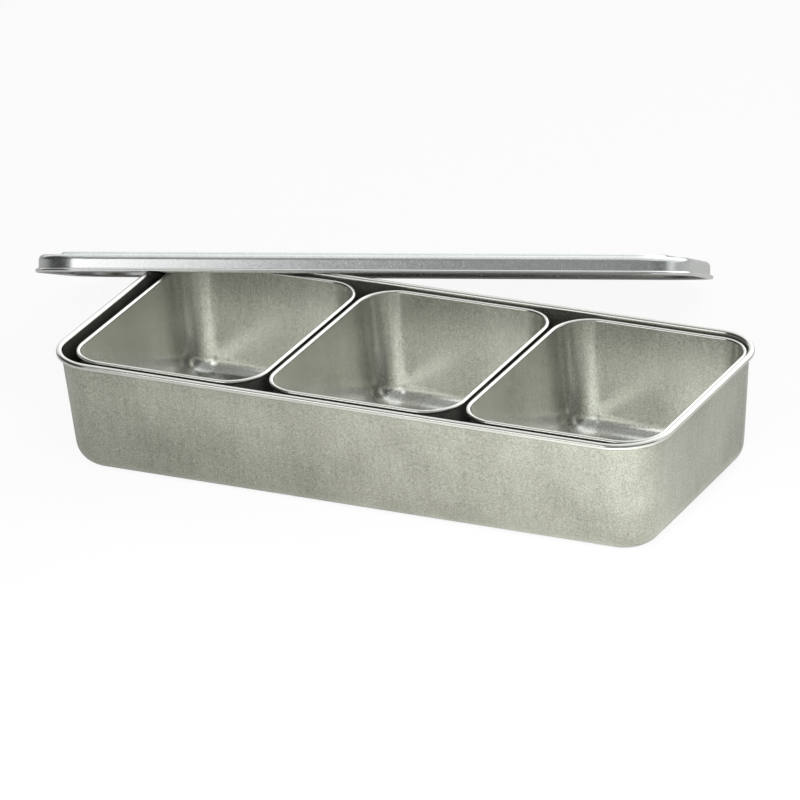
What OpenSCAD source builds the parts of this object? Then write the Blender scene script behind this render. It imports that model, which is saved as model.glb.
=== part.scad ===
/* [Outer pan] */
// Length over the rolled rim
pan_l = 350; // [260:1:460]
// Width over the rolled rim
pan_w = 155; // [120:1:220]
// Height from the base to the top of the rim
pan_h = 65; // [45:1:100]
// Corner radius at the outside of the rim
pan_r = 28; // [20:0.5:40]
// Distance each wall leans in from the rim to the base
pan_draft = 5.8; // [2:0.1:10]
// How much smaller the radius between the walls and the base is than the corner radius
pan_fillet_less = 14.5; // [12:0.5:18]
// Diameter of the rolled rim
pan_roll = 3.4; // [2.4:0.1:5]
// Sheet thickness
pan_sheet = 0.7; // [0.5:0.05:1]

/* [Inner pans] */
// Free length that the row of pans leaves inside the outer rim
cup_room_l = 6.9; // [6:0.1:12]
// Free width that the pans leave inside the outer rim
cup_room_w = 8.7; // [6:0.1:20]
// Gap between neighbouring rims
cup_gap = 2.4; // [0.5:0.1:6]
// Gap between the right-hand pan and the outer rim
cup_right = 0.65; // [0.5:0.05:3]
// Gap between the pans and the outer rim at the back
cup_rear = 2.55; // [1.5:0.05:3]
// Distance from the top of the outer rim down to the top of an inner rim
cup_drop = 1.7; // [1:0.1:8]
// How much smaller the corner radius is than the outer pan's
cup_r_less = 7; // [5:0.5:8]
// How much less the walls lean in than the outer pan's
cup_draft_less = 1.3; // [0.5:0.1:1.8]
// How much smaller the radius at the base is than the outer pan's
cup_fillet_less = 1.5; // [0:0.1:2]
// Diameter of the rolled rim
cup_roll = 2.4; // [2:0.1:4]
// Sheet thickness
cup_sheet = 0.6; // [0.5:0.05:1]

/* [Lid] */
// Gap between the skirt and the outer pan's rim when the lid is on
lid_gap = 0.5; // [0.3:0.1:2]
// Height of the lid to the top of its border
lid_h = 9.8; // [8:0.1:20]
// Height of the raised panel above the border
lid_rise = 1.5; // [1.4:0.1:3]
// Distance from the skirt to the raised panel
lid_border = 11; // [8:0.5:18]
// Outside radius of the shoulder
lid_shoulder = 3; // [2:0.1:5]
// Diameter of the rolled lower edge
lid_roll = 2.4; // [2:0.1:4]
// Sheet thickness
lid_sheet = 0.6; // [0.5:0.05:1]

/* [Resting place of the lid] */
// Turn of the lid against the outer pan, in degrees
lid_turn = 18.5; // [10:0.5:26]
// Gap between the lid's panel and the corner of the outer pan's rim that reaches under it
lid_clear = 0.8; // [0.4:0.1:2]
// Distance of the lid's middle from the origin, along its long side
lid_along = -38; // [-60:0.5:0]
// Gap left where the lid lies on the rim
lid_seat = 0.05; // [0.02:0.01:0.2]

/* [Hidden] */
$fn = 96;
lap = 0.2;

pan_fillet = pan_r - pan_fillet_less;
pan_shape = [pan_r, pan_h, pan_draft, pan_fillet, pan_roll / 2, pan_sheet];

cups = 3;
bay_l = pan_l - 2 * pan_roll;
bay_w = pan_w - 2 * pan_roll;
cup_l = (bay_l - cup_room_l - (cups - 1) * cup_gap) / cups;
cup_w = bay_w - cup_room_w;
cup_h = pan_h - cup_drop - pan_sheet;
cup_shape = [
    pan_r - cup_r_less, cup_h, pan_draft - cup_draft_less, pan_fillet - cup_fillet_less, cup_roll / 2, cup_sheet
];
cup_pitch = cup_l + cup_gap;
cup_x = cup_room_l / 2 - cup_right;
cup_y = cup_room_w / 2 - cup_rear;

lid_l = pan_l + 2 * (lid_gap + lid_sheet);
lid_w = pan_w + 2 * (lid_gap + lid_sheet);
lid_r = pan_r + lid_gap + lid_sheet;
edge_r = lid_roll / 2;
edge_w = lid_w + 2 * (lid_roll - lid_sheet);
step_r = 2;
step_a = acos(1 - lid_rise / (2 * step_r));
panel_edge = lid_r - lid_border;

lean = asin((pan_h + lid_seat) / (edge_w - lid_roll));
lean_z = (edge_w / 2 - edge_r) * sin(lean) + edge_r * (1 - cos(lean));
rim_r = pan_roll / 2;
// How far the outer pan's rim reaches from the origin, square to the lid's long side
rim_back = (pan_l / 2 - pan_r) * sin(lid_turn) + (pan_w / 2 - pan_r) * cos(lid_turn) + pan_r - rim_r;
// How far that is behind the lid's near edge, so that the panel clears the rim
rim_under = (lid_h + lid_rise - lid_sheet - lid_clear - rim_r - edge_r + (rim_r + lid_seat + edge_r) * cos(lean))
    / sin(lean);
lid_back = rim_back - rim_under + (edge_w / 2 - edge_r) * cos(lean) - edge_r * sin(lean);
lean_x = lid_along * cos(lid_turn) - lid_back * sin(lid_turn);
lean_y = lid_along * sin(lid_turn) + lid_back * cos(lid_turn);

// Wall section of a pan: u runs outward from the corner's centre, v upward from the base.
// shape = [corner radius, height, draft, fillet radius, roll radius, sheet]
function tilt(s) = atan(s[2] / s[1]);
function roll_at(s) = [s[0] - s[4], s[1] - s[4]];
function fillet_at(s) = [
    s[0] - s[4] - (s[4] - s[5] + s[3] + (s[1] - s[4] - s[3]) * sin(tilt(s))) / cos(tilt(s)),
    s[3]
];
function on(p, a, d) = [p[0] + d * cos(a), p[1] + d * sin(a)];

module band(c, r, t, a0, a1) {
    intersection() {
        translate(c) difference() {
            circle(r = r);
            circle(r = r - t);
        }
        polygon(concat([c], [for (i = [0:6]) on(c, a0 + (a1 - a0) * i / 6, 3 * r)]));
    }
}

// Each straight run reaches a little into the bend beside it, on the side of the bend's centre.
module pan_section(s) {
    d = tilt(s);
    f = fillet_at(s);
    b = roll_at(s);
    polygon([[0, 0], [f[0], 0], [f[0] + lap, s[5]], [0, s[5]]]);
    band(f, s[3], s[5], -90, -d);
    polygon([on(f, -d, s[3]), on(on(b, 180 - d, s[4] - s[5]), 90 - d, lap),
             on(b, 180 - d, s[4]), on(on(f, -d, s[3] - s[5]), 90 - d, -lap)]);
    band(b, s[4], s[5], -100, 180 - d);
}

// Carries a section round a rounded rectangle whose outside measures l by w at radius r.
module sweep(l, w, r) {
    a = l / 2 - r;
    b = w / 2 - r;
    for (m = [0, 1]) mirror([m, 0, 0]) {
        translate([a, b, 0]) rotate([90, 0, 0]) linear_extrude(height = 2 * b) children();
        for (k = [0, 1]) mirror([0, k, 0]) translate([a, b, 0]) rotate_extrude(angle = 90) children();
    }
    for (k = [0, 1]) mirror([0, k, 0])
        translate([-a, b, 0]) rotate([90, 0, 90]) linear_extrude(height = 2 * a) children();
}

module pan(l, w, s) {
    sweep(l, w, s[0]) pan_section(s);
    translate([s[0] - l / 2, s[0] - w / 2, 0]) cube([l - 2 * s[0], w - 2 * s[0], s[5]]);
}

function arc(c, r, a0, a1) = [for (i = [0:4]) on(c, a0 + (a1 - a0) * i / 4, r)];

module lid_section() {
    t = lid_sheet;
    top = lid_h + lid_rise;
    side = [lid_r - lid_shoulder, lid_h - lid_shoulder];
    edge = [lid_r - t + edge_r, edge_r];
    low = [panel_edge, lid_h - t / 2 + step_r];
    high = on(low, -90 - step_a, 2 * step_r);
    polygon(concat(
        [[0, top - t]], arc(high, step_r - t / 2, 90, 90 - step_a), arc(low, step_r + t / 2, -90 - step_a, -90),
        [[side[0] + lap, lid_h - t], [side[0], lid_h]],
        arc(low, step_r - t / 2, -90, -90 - step_a), arc(high, step_r + t / 2, 90 - step_a, 90), [[0, top]]
    ));
    band(side, lid_shoulder, t, 0, 90);
    polygon([[lid_r - t, edge_r], [lid_r, edge_r - lap], [lid_r, side[1]], [lid_r - t, side[1] + lap]]);
    band(edge, edge_r, t, -180, 100);
}

module upright_lid() {
    sweep(lid_l, lid_w, lid_r) lid_section();
    translate([lid_r - lid_l / 2, lid_r - lid_w / 2, lid_h + lid_rise - lid_sheet])
        cube([lid_l - 2 * lid_r, lid_w - 2 * lid_r, lid_sheet]);
}

module inner_pan(k) {
    translate([cup_x + k * cup_pitch, cup_y, pan_sheet]) pan(cup_l, cup_w, cup_shape);
}

module outer_pan() color([0.72, 0.72, 0.69]) pan(pan_l, pan_w, pan_shape);

module inner_pan_left() color([0.78, 0.79, 0.78]) inner_pan(-1);

module inner_pan_middle() color([0.78, 0.79, 0.78]) inner_pan(0);

module inner_pan_right() color([0.78, 0.79, 0.78]) inner_pan(1);

module lid() color([0.75, 0.75, 0.76])
    translate([lean_x, lean_y, lean_z]) rotate([-lean, 0, lid_turn]) upright_lid();

outer_pan();
inner_pan_left();
inner_pan_middle();
inner_pan_right();
lid();
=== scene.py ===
"""Looks of a pressed steel condiment container: an outer pan, three loose inner pans and a leaning lid."""

import math

import bpy
from mathutils import Matrix, Vector


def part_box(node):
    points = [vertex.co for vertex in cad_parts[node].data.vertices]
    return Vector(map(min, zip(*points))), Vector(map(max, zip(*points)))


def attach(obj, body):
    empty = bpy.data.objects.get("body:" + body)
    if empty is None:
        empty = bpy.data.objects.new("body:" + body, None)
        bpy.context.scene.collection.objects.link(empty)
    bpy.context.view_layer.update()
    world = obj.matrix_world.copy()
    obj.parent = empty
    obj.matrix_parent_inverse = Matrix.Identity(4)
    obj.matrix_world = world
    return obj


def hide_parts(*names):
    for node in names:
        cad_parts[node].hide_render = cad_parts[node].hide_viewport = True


MM = 0.001

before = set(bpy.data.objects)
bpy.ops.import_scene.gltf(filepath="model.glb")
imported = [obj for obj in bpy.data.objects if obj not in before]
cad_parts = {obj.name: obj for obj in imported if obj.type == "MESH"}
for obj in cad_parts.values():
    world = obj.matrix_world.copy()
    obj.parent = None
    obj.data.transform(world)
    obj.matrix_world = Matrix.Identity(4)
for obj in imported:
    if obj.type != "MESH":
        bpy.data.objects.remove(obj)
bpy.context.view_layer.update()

# Outer pan, in millimetres
PAN = {
    "length": 350, "width": 155, "height": 65, "corner": 28,
    "draft": 5.8, "fillet": 13.5, "roll": 3.4, "sheet": 0.7,
}
# Inner pans
CUP = {
    "length": 110.5, "width": 139.5, "height": 62.6, "corner": 21,
    "draft": 4.5, "fillet": 12, "roll": 2.4, "sheet": 0.6,
}
# Lid
LID_GAP = 0.5
LID_HEIGHT = 9.8
LID_RISE = 1.5
LID_BORDER = 11
LID_SHOULDER = 3
LID_ROLL = 2.4
LID_SHEET = 0.6
LID_STEP = 2
# Where the lid leans
LID_TURN = 18.5
LID_ALONG = -38
LID_SEAT = 0.05
LID_CLEAR = 0.8

# Angles, in degrees, at which the rolled edges of the pans and of the lid end
PAN_ROLL_END = -100
LID_ROLL_END = 100
# Press-formed walls bow out a little between their corners
WALL_BOW = 0.35
# Place of a pan section's ends, as a share of the way from the corner's centre to the fillet's centre
FLOOR_SHARE = 0.6

# Steps round the corners, and millimetres between the stations along the sides
CORNER_STEPS = 20
RUN_STEP = 9
# Steps of a pan's section
FILLET_STEPS = 12
WALL_STEPS = 10
PAN_CURL_IN_STEPS = 18
PAN_CURL_OUT_STEPS = 28
# Steps of the lid's section
PRESS_STEPS = 6
SHOULDER_IN_STEPS = 8
SHOULDER_OUT_STEPS = 10
SKIRT_STEPS = 3
LID_CURL_IN_STEPS = 14
LID_CURL_OUT_STEPS = 22
# Faces that meet at more than this angle, in degrees, keep a sharp edge
SHARP_ANGLE = 50

# Pattern sizes of the steel, in millimetres: lines from drawing and a satin grain, both coarser than the real
# ones so that they show, and a broad cloudiness from uneven polishing
LINE_SIZE = 2
GRAIN_SIZE = 0.9
CLOUD_SIZE = 35
NOISE_DETAIL = 2.0
# Scale of the lines along their length, and shares of the lines and the cloudiness in the pattern
LINE_STRETCH = 0.04
LINE_SHARE = 0.18
CLOUD_SHARE = 0.3
# Depth of the grain, in millimetres
RELIEF_DEPTH = 0.02
# The noise lies mostly between these values, and the roughness differs by this share either way
NOISE_RANGE = (0.35, 0.65)
ROUGHNESS_SPREAD = 0.15

# Brightness of the room where it lights matt surfaces, and where the metal mirrors it
ROOM_LIGHT = 0.32
ROOM_MIRRORED = 1.2


def linear(hex_colour):
    """An sRGB hex colour as linear red, green, blue and alpha."""
    value = int(hex_colour.lstrip("#"), 16)
    parts = [(value >> shift & 255) / 255 for shift in (16, 8, 0)]
    return [p / 12.92 if p <= 0.04045 else ((p + 0.055) / 1.055) ** 2.4 for p in parts] + [1.0]


def empty_tree(owner):
    """The cleared node tree of a material or world."""
    owner.use_nodes = True
    owner.node_tree.nodes.clear()
    return owner.node_tree


def add_node(tree, kind, links=None, **settings):
    """Adds a node. Settings name its properties or, with a leading in_, its input sockets."""
    node = tree.nodes.new(kind)
    for name, value in settings.items():
        if name.startswith("in_"):
            node.inputs[name[3:].replace("_", " ")].default_value = value
        else:
            setattr(node, name, value)
    for socket, source in (links or {}).items():
        tree.links.new(source, node.inputs[socket])
    return node


def arc(centre, radius, start, end, steps):
    """Points of an arc in the section plane, from one angle in degrees to another."""
    angles = [math.radians(start + (end - start) * i / steps) for i in range(steps + 1)]
    return [(centre[0] + radius * math.cos(a), centre[1] + radius * math.sin(a)) for a in angles]


def line(a, b, steps):
    """Points between two points, without the ends."""
    return [(a[0] + (b[0] - a[0]) * i / steps, a[1] + (b[1] - a[1]) * i / steps) for i in range(1, steps)]


def pan_section(size):
    """Section of a pan's sheet, from its underside over the rolled rim to the top of its floor."""
    roll, sheet, fillet = size["roll"] / 2, size["sheet"], size["fillet"]
    tilt = math.degrees(math.atan(size["draft"] / size["height"]))
    sin, cos = math.sin(math.radians(tilt)), math.cos(math.radians(tilt))
    rim = (size["corner"] - roll, size["height"] - roll)
    foot = (rim[0] - (roll - sheet + fillet + (rim[1] - fillet) * sin) / cos, fillet)
    floor_end = foot[0] * FLOOR_SHARE
    outside = [(floor_end, 0)] + arc(foot, fillet, -90, -tilt, FILLET_STEPS)
    curl_in = arc(rim, roll - sheet, 180 - tilt, PAN_ROLL_END, PAN_CURL_IN_STEPS)
    curl_out = arc(rim, roll, PAN_ROLL_END, 180 - tilt, PAN_CURL_OUT_STEPS)
    inside = arc(foot, fillet - sheet, -tilt, -90, FILLET_STEPS) + [(floor_end, sheet)]
    up = line(outside[-1], curl_in[0], WALL_STEPS)
    down = line(curl_out[-1], inside[0], WALL_STEPS)
    points = outside + up + curl_in + curl_out + down + inside
    first = len(outside) + len(up)
    return points, range(first, first + len(curl_in) + len(curl_out) - 1)


def lid_section(corner):
    """Section of the lid's sheet, from under its panel round the rolled edge to the top of its panel."""
    t, top = LID_SHEET, LID_HEIGHT + LID_RISE
    slope = math.degrees(math.acos(1 - LID_RISE / (2 * LID_STEP)))
    edge_r = LID_ROLL / 2
    side = (corner - LID_SHOULDER, LID_HEIGHT - LID_SHOULDER)
    edge = (corner - t + edge_r, edge_r)
    low = (corner - LID_BORDER, LID_HEIGHT - t / 2 + LID_STEP)
    turn = math.radians(-90 - slope)
    high = (low[0] + 2 * LID_STEP * math.cos(turn), low[1] + 2 * LID_STEP * math.sin(turn))
    panel_end = high[0] - t
    thin, thick = LID_STEP - t / 2, LID_STEP + t / 2
    under = [(panel_end, top - t)]
    under += arc(high, thin, 90, 90 - slope, PRESS_STEPS)
    under += arc(low, thick, -90 - slope, -90, PRESS_STEPS)[1:]
    under += arc(side, LID_SHOULDER - t, 90, 0, SHOULDER_IN_STEPS)
    curl_in = arc(edge, edge_r - t, -180, LID_ROLL_END, LID_CURL_IN_STEPS)
    # The outside of the curl ends at the skirt
    curl_out = arc(edge, edge_r, LID_ROLL_END, -180, LID_CURL_OUT_STEPS)[:-1] + [(corner, edge_r)]
    over = arc(side, LID_SHOULDER, 0, 90, SHOULDER_OUT_STEPS)
    over += arc(low, thin, -90, -90 - slope, PRESS_STEPS)
    over += arc(high, thick, 90 - slope, 90, PRESS_STEPS)[1:]
    over += [(panel_end, top)]
    inner_skirt = line(under[-1], curl_in[0], SKIRT_STEPS)
    outer_skirt = line(curl_out[-1], over[0], SKIRT_STEPS)
    points = under + inner_skirt + curl_in + curl_out + outer_skirt + over
    first = len(under) + len(inner_skirt)
    return points, range(first, first + len(curl_in) + len(curl_out) - 1)


def stations(half_x, half_y):
    """Corner centres, outward directions and places along each side, counter-clockwise from the right."""
    corners = [(half_x, half_y), (-half_x, half_y), (-half_x, -half_y), (half_x, -half_y)]
    found = []
    for i, (x, y) in enumerate(corners):
        for k in range(CORNER_STEPS + 1):
            a = math.radians(90 * (i + k / CORNER_STEPS))
            found.append((x, y, math.cos(a), math.sin(a), 0.0))
        nx, ny = corners[(i + 1) % 4]
        runs = max(2, round(math.hypot(nx - x, ny - y) / RUN_STEP))
        a = math.radians(90 * (i + 1))
        for k in range(1, runs):
            f = k / runs
            found.append((x + (nx - x) * f, y + (ny - y) * f, math.cos(a), math.sin(a), f))
    return found


def swept_sheet(name, section, half_x, half_y, bow, place):
    """A sheet of metal whose section is carried round a rounded rectangle and closed across its floor."""
    points, rim = section
    rounds = stations(half_x, half_y)
    height = max(z for _, z in points)
    verts = []
    for x, y, dx, dy, f in rounds:
        for u, z in points:
            out = u + bow * math.sin(math.pi * f) ** 2 * math.sin(math.pi * z / height)
            verts.append(place @ (Vector((x + out * dx, y + out * dy, z)) * MM))
    n, m = len(points), len(rounds)
    faces, kinds = [], []
    for s in range(m):
        for j in range(n - 1):
            a, b = s * n + j, (s + 1) % m * n + j
            faces.append((a, b, b + 1, a + 1))
            # The rolled rim takes the second metal
            kinds.append(1 if j in rim else 0)
    faces.append([s * n for s in reversed(range(m))])
    faces.append([s * n + n - 1 for s in range(m)])
    kinds += [0, 0]
    mesh = bpy.data.meshes.new(name)
    mesh.from_pydata(verts, [], faces)
    mesh.polygons.foreach_set("material_index", kinds)
    mesh.polygons.foreach_set("use_smooth", [True] * len(faces))
    mesh.set_sharp_from_angle(angle=math.radians(SHARP_ANGLE))
    mesh.update()
    piece = bpy.data.objects.new(name, mesh)
    bpy.context.scene.collection.objects.link(piece)
    even = piece.modifiers.new("even", "WEIGHTED_NORMAL")
    even.keep_sharp = True
    return piece


def steel(name, dark, light, roughness, relief, metallic=1.0):
    """Stainless sheet with soft reflections, a fine grain and faint upright lines from drawing."""
    material = bpy.data.materials.new(name)
    tree = empty_tree(material)
    place = add_node(tree, "ShaderNodeTexCoord").outputs["Object"]
    stretched = add_node(
        tree, "ShaderNodeMapping", {"Vector": place}, in_Scale=(1, 1, LINE_STRETCH)
    ).outputs["Vector"]
    lines, grain, cloud = (
        add_node(
            tree, "ShaderNodeTexNoise", {"Vector": source}, in_Scale=1 / (size * MM), in_Detail=NOISE_DETAIL
        ).outputs["Fac"]
        for source, size in ((stretched, LINE_SIZE), (place, GRAIN_SIZE), (place, CLOUD_SIZE))
    )
    fine = add_node(tree, "ShaderNodeMix", {"A": grain, "B": lines}, in_Factor=LINE_SHARE).outputs["Result"]
    spread = add_node(tree, "ShaderNodeMix", {"A": fine, "B": cloud}, in_Factor=CLOUD_SHARE).outputs["Result"]
    low, high = NOISE_RANGE
    rough = add_node(
        tree, "ShaderNodeMapRange", {"Value": spread}, in_From_Min=low, in_From_Max=high,
        in_To_Min=roughness * (1 - ROUGHNESS_SPREAD), in_To_Max=roughness * (1 + ROUGHNESS_SPREAD),
    )
    tone = add_node(tree, "ShaderNodeValToRGB", {"Fac": spread})
    for stop, position, colour in zip(tone.color_ramp.elements, NOISE_RANGE, (dark, light)):
        stop.position = position
        stop.color = linear(colour)
    bump = add_node(
        tree, "ShaderNodeBump", {"Height": fine}, in_Strength=relief, in_Distance=RELIEF_DEPTH * MM
    )
    shader = add_node(
        tree, "ShaderNodeBsdfPrincipled",
        {
            "Base Color": tone.outputs["Color"],
            "Roughness": rough.outputs["Result"],
            "Normal": bump.outputs["Normal"],
        },
        in_Metallic=metallic,
    )
    add_node(tree, "ShaderNodeOutputMaterial", {"Surface": shader.outputs["BSDF"]})
    return material


def light_surface(name, colour, camera_share, glossy_share):
    """A stage surface that the camera and the metal see partly as plain white, and that keeps the shadow."""
    material = bpy.data.materials.new(name)
    tree = empty_tree(material)
    path = add_node(tree, "ShaderNodeLightPath")
    mirrored = add_node(
        tree, "ShaderNodeMath", {0: path.outputs["Is Glossy Ray"], 1: path.outputs["Is Transmission Ray"]},
        operation="MAXIMUM",
    )
    low = add_node(tree, "ShaderNodeMath", {0: mirrored.outputs[0]}, operation="MULTIPLY")
    low.inputs[1].default_value = glossy_share
    high = add_node(tree, "ShaderNodeMath", {0: path.outputs["Is Camera Ray"]}, operation="MULTIPLY")
    high.inputs[1].default_value = camera_share
    share = add_node(tree, "ShaderNodeMath", {0: low.outputs[0], 1: high.outputs[0]}, operation="MAXIMUM")
    matt = add_node(tree, "ShaderNodeBsdfDiffuse", in_Color=linear(colour))
    white = add_node(tree, "ShaderNodeEmission", in_Color=(1, 1, 1, 1), in_Strength=1.0)
    mixed = add_node(
        tree, "ShaderNodeMixShader",
        {0: share.outputs[0], 1: matt.outputs["BSDF"], 2: white.outputs["Emission"]},
    )
    add_node(tree, "ShaderNodeOutputMaterial", {"Surface": mixed.outputs["Shader"]})
    return material


def tent_side(tree, around, toward, inner, outer, level):
    """A share of the light that goes smoothly from 1 to another level round one direction of the room."""
    aim = add_node(tree, "ShaderNodeVectorMath", {0: around}, operation="DOT_PRODUCT")
    aim.inputs[1].default_value = Vector(toward).normalized()
    return add_node(
        tree, "ShaderNodeMapRange", {"Value": aim.outputs["Value"]}, interpolation_type="SMOOTHSTEP",
        in_From_Min=math.cos(math.radians(outer)), in_From_Max=math.cos(math.radians(inner)),
        in_To_Min=1.0, in_To_Max=level,
    ).outputs["Result"]


def studio_world():
    """A white tent round the object, dimmer in front, above and at both ends, and brighter behind."""
    world = bpy.data.worlds.new("studio")
    tree = empty_tree(world)
    path = add_node(tree, "ShaderNodeLightPath")
    around = add_node(tree, "ShaderNodeTexCoord").outputs["Generated"]
    # The metal mirrors these sides as the soft dark and bright areas of its walls
    share = tent_side(tree, around, toward=(0.3, -0.82, 0.48), inner=30, outer=60, level=0.32)
    above = tent_side(tree, around, toward=(-0.3, -0.28, 0.91), inner=7, outer=17, level=0.4)
    left = tent_side(tree, around, toward=(-0.9, -0.3, 0.2), inner=32, outer=55, level=0.07)
    right = tent_side(tree, around, toward=(0.92, -0.12, 0.38), inner=12, outer=25, level=0.22)
    back = tent_side(tree, around, toward=(0.1, 0.9, 0.42), inner=4, outer=40, level=1.9)
    for side in (above, left, right, back):
        share = add_node(tree, "ShaderNodeMath", {0: share, 1: side}, operation="MULTIPLY").outputs[0]
    mirrored = add_node(
        tree, "ShaderNodeMath", {0: path.outputs["Is Glossy Ray"], 1: path.outputs["Is Transmission Ray"]},
        operation="MAXIMUM",
    )
    level = add_node(
        tree, "ShaderNodeMapRange", {"Value": mirrored.outputs[0]},
        in_To_Min=ROOM_LIGHT, in_To_Max=ROOM_MIRRORED,
    ).outputs["Result"]
    strength = add_node(tree, "ShaderNodeMath", {0: share, 1: level}, operation="MULTIPLY").outputs[0]
    soft = add_node(tree, "ShaderNodeBackground", {"Strength": strength}, in_Color=linear("#F4F7F7"))
    white = add_node(tree, "ShaderNodeBackground", in_Color=(1, 1, 1, 1), in_Strength=1.0)
    mixed = add_node(
        tree, "ShaderNodeMixShader",
        {0: path.outputs["Is Camera Ray"], 1: soft.outputs["Background"], 2: white.outputs["Background"]},
    )
    add_node(tree, "ShaderNodeOutputWorld", {"Surface": mixed.outputs["Shader"]})
    bpy.context.scene.world = world


def stage_plane(name, size, height, material):
    """A level square of the stage under the object."""
    mesh = bpy.data.meshes.new(name)
    h = size / 2
    mesh.from_pydata([(-h, -h, height), (h, -h, height), (h, h, height), (-h, h, height)], [], [(0, 1, 2, 3)])
    mesh.materials.append(material)
    plane = bpy.data.objects.new(name, mesh)
    bpy.context.scene.collection.objects.link(plane)


def softbox(name, place, target, size, power, mirrored):
    """A rectangular studio light that faces a point, and that the metal may or may not mirror."""
    lamp = bpy.data.lights.new(name, "AREA")
    lamp.shape = "RECTANGLE"
    lamp.size, lamp.size_y = size
    lamp.energy = power
    holder = bpy.data.objects.new(name, lamp)
    holder.location = place
    holder.rotation_euler = (Vector(target) - Vector(place)).to_track_quat("-Z", "Y").to_euler()
    holder.visible_glossy = mirrored
    bpy.context.scene.collection.objects.link(holder)


def place_camera():
    """A long lens at the photograph's angle, worked out from the outline of the outer pan's rim and base."""
    azimuth, elevation, roll = (math.radians(a) for a in (27.15, 23.95, -3.12))
    # In pixels of the photograph: its width, the focal length and the object's offset
    image_px, focal_px, px_per_mm = 800, 8000, 1.919
    side_px, up_px = 6.1, -3.9
    # In millimetres
    aim_height = 37
    level = math.cos(elevation)
    back = Vector((math.sin(azimuth) * level, -math.cos(azimuth) * level, math.sin(elevation)))
    right = Vector((math.cos(azimuth), math.sin(azimuth), 0))
    up = back.cross(right)
    right, up = math.cos(roll) * right + math.sin(roll) * up, -math.sin(roll) * right + math.cos(roll) * up
    eye = Vector((0, 0, aim_height)) + back * (focal_px / px_per_mm)
    eye += up * (up_px / px_per_mm) - right * (side_px / px_per_mm)
    lens = bpy.data.cameras.new("camera")
    lens.sensor_width = 36
    lens.lens = focal_px * lens.sensor_width / image_px
    lens.clip_end = 100
    camera = bpy.data.objects.new("camera", lens)
    camera.matrix_world = Matrix.Translation(eye * MM) @ Matrix((right, up, back)).transposed().to_4x4()
    bpy.context.scene.collection.objects.link(camera)
    bpy.context.scene.camera = camera


def dress(piece, node, sheet, rim):
    """Puts the metals on a piece and lets it stand for its CAD node on the body of the same name."""
    piece.data.materials.append(sheet)
    piece.data.materials.append(rim)
    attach(piece, node)
    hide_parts(node)


def make_pans():
    """The outer pan and the three inner pans, each at the place of its CAD node."""
    # A matt share lets the grain of the outer pan's walls show, and its darker base colours are painted shade
    # for the dimmer reflections on its outer walls, so that it looks duller than what it holds
    outside = steel(
        "satin_steel_outer_pan_painted_shade", dark="#8A8B80", light="#BBBCB0", roughness=0.22, relief=0.1, metallic=0.9
    )
    # Paler base colours, which are painted light that brightens the pans' insides, and less grainy, so that
    # the inner pans' walls mirror each other softly in their corners
    inside = steel(
        "satin_steel_inner_pans_painted_light", dark="#CFD0C9", light="#F1F1EB", roughness=0.23, relief=0.05, metallic=0.96
    )
    # Bright enough to draw a clear line round each opening
    bright = steel("polished_steel_rims", dark="#CCCCC6", light="#DADAD4", roughness=0.16, relief=0.03)
    for node, size in (
        ("outer_pan", PAN), ("inner_pan_left", CUP), ("inner_pan_middle", CUP), ("inner_pan_right", CUP),
    ):
        low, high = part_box(node)
        middle = (low + high) / 2
        place = Matrix.Translation((middle.x, middle.y, low.z))
        half_x, half_y = size["length"] / 2 - size["corner"], size["width"] / 2 - size["corner"]
        bow = WALL_BOW if size is PAN else 0
        piece = swept_sheet(node + "_sheet", pan_section(size), half_x, half_y, bow, place)
        dress(piece, node, outside if size is PAN else inside, bright)


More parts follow.
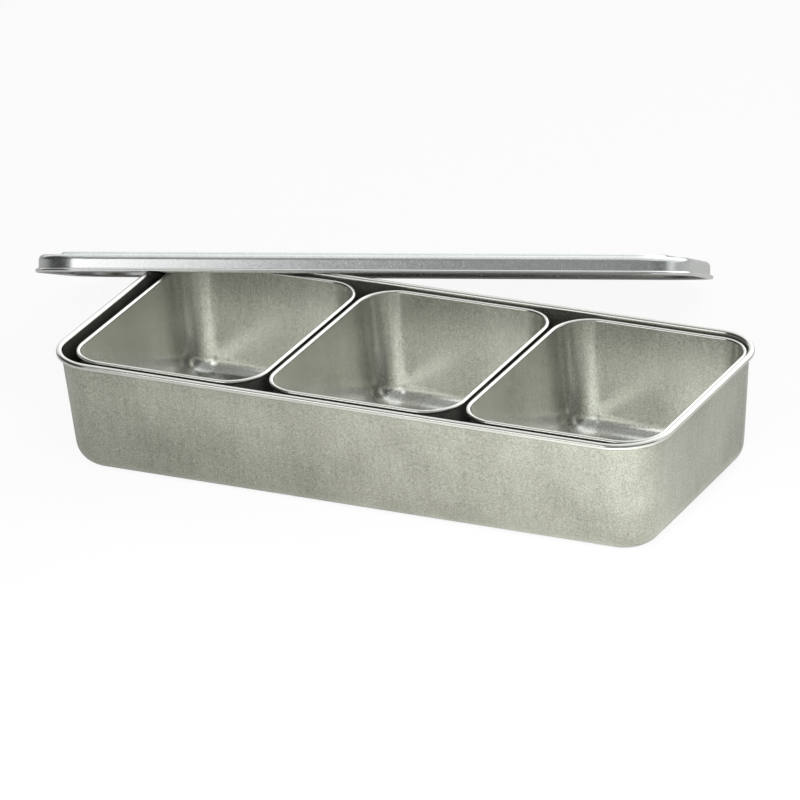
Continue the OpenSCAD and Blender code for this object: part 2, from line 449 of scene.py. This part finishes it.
def make_lid():
    """The lid, leaning with its near edge on the outer pan's rim and its far edge on the table."""
    # Cooler than the pans, and even, so that the lid reads as one flat sheet
    steel_lid = steel("satin_steel_lid", dark="#C6C8C7", light="#DEE0DF", roughness=0.24, relief=0.06)
    # Bright enough to set the lid's edge off against the white behind it
    bright = steel("polished_steel_lid_edge", dark="#D8D8D6", light="#E4E4E2", roughness=0.16, relief=0.03)
    length, width = (PAN[k] + 2 * (LID_GAP + LID_SHEET) for k in ("length", "width"))
    corner = PAN["corner"] + LID_GAP + LID_SHEET
    edge_width = width + 2 * (LID_ROLL - LID_SHEET)
    edge_r = LID_ROLL / 2
    lean = math.asin((PAN["height"] + LID_SEAT) / (edge_width - LID_ROLL))
    turn = math.radians(LID_TURN)
    rim_r, reach = PAN["roll"] / 2, edge_width / 2 - edge_r
    corner_x, corner_y = (PAN[k] / 2 - PAN["corner"] for k in ("length", "width"))
    rim_back = corner_x * math.sin(turn) + corner_y * math.cos(turn) + PAN["corner"] - rim_r
    hollow = LID_HEIGHT + LID_RISE - LID_SHEET - LID_CLEAR - rim_r - edge_r
    rim_under = (hollow + (rim_r + LID_SEAT + edge_r) * math.cos(lean)) / math.sin(lean)
    back = rim_back - rim_under + reach * math.cos(lean) - edge_r * math.sin(lean)
    middle = Vector((
        LID_ALONG * math.cos(turn) - back * math.sin(turn),
        LID_ALONG * math.sin(turn) + back * math.cos(turn),
        reach * math.sin(lean) + edge_r * (1 - math.cos(lean)),
    ))
    place = Matrix.Translation(middle * MM) @ Matrix.Rotation(turn, 4, "Z") @ Matrix.Rotation(-lean, 4, "X")
    piece = swept_sheet("lid_sheet", lid_section(corner), length / 2 - corner, width / 2 - corner, 0, place)
    dress(piece, "lid", steel_lid, bright)


def make_stage():
    """A white table under the object, with three soft lamps and one card that the metal mirrors."""
    # Nearly plain white to the eye, so that only the soft shadow at the object's foot shows on it
    table = light_surface("white_table", "#F2F2F0", camera_share=0.93, glossy_share=0.06)
    stage_plane("floor", size=12, height=-0.5 * MM, material=table)
    middle = (0, 0, 0)
    softbox("back_light", (0.45, 0.55, 1.0), middle, size=(0.5, 0.5), power=4, mirrored=False)
    softbox("key_light", (-0.68, -0.6, 0.69), middle, size=(0.12, 0.12), power=2, mirrored=False)
    front_right = (0.12, -0.13, 0)
    softbox("right_light", (0.25, -0.33, 0.21), front_right, size=(0.3, 0.3), power=2.4, mirrored=False)
    left_pan = (-0.1, 0.05, 0.07)
    softbox("left_card", (-0.27, -0.78, 0.45), left_pan, size=(0.5, 0.36), power=0.95, mirrored=True)


bpy.context.scene.view_settings.view_transform = "Standard"
place_camera()
make_pans()
make_lid()
studio_world()
make_stage()
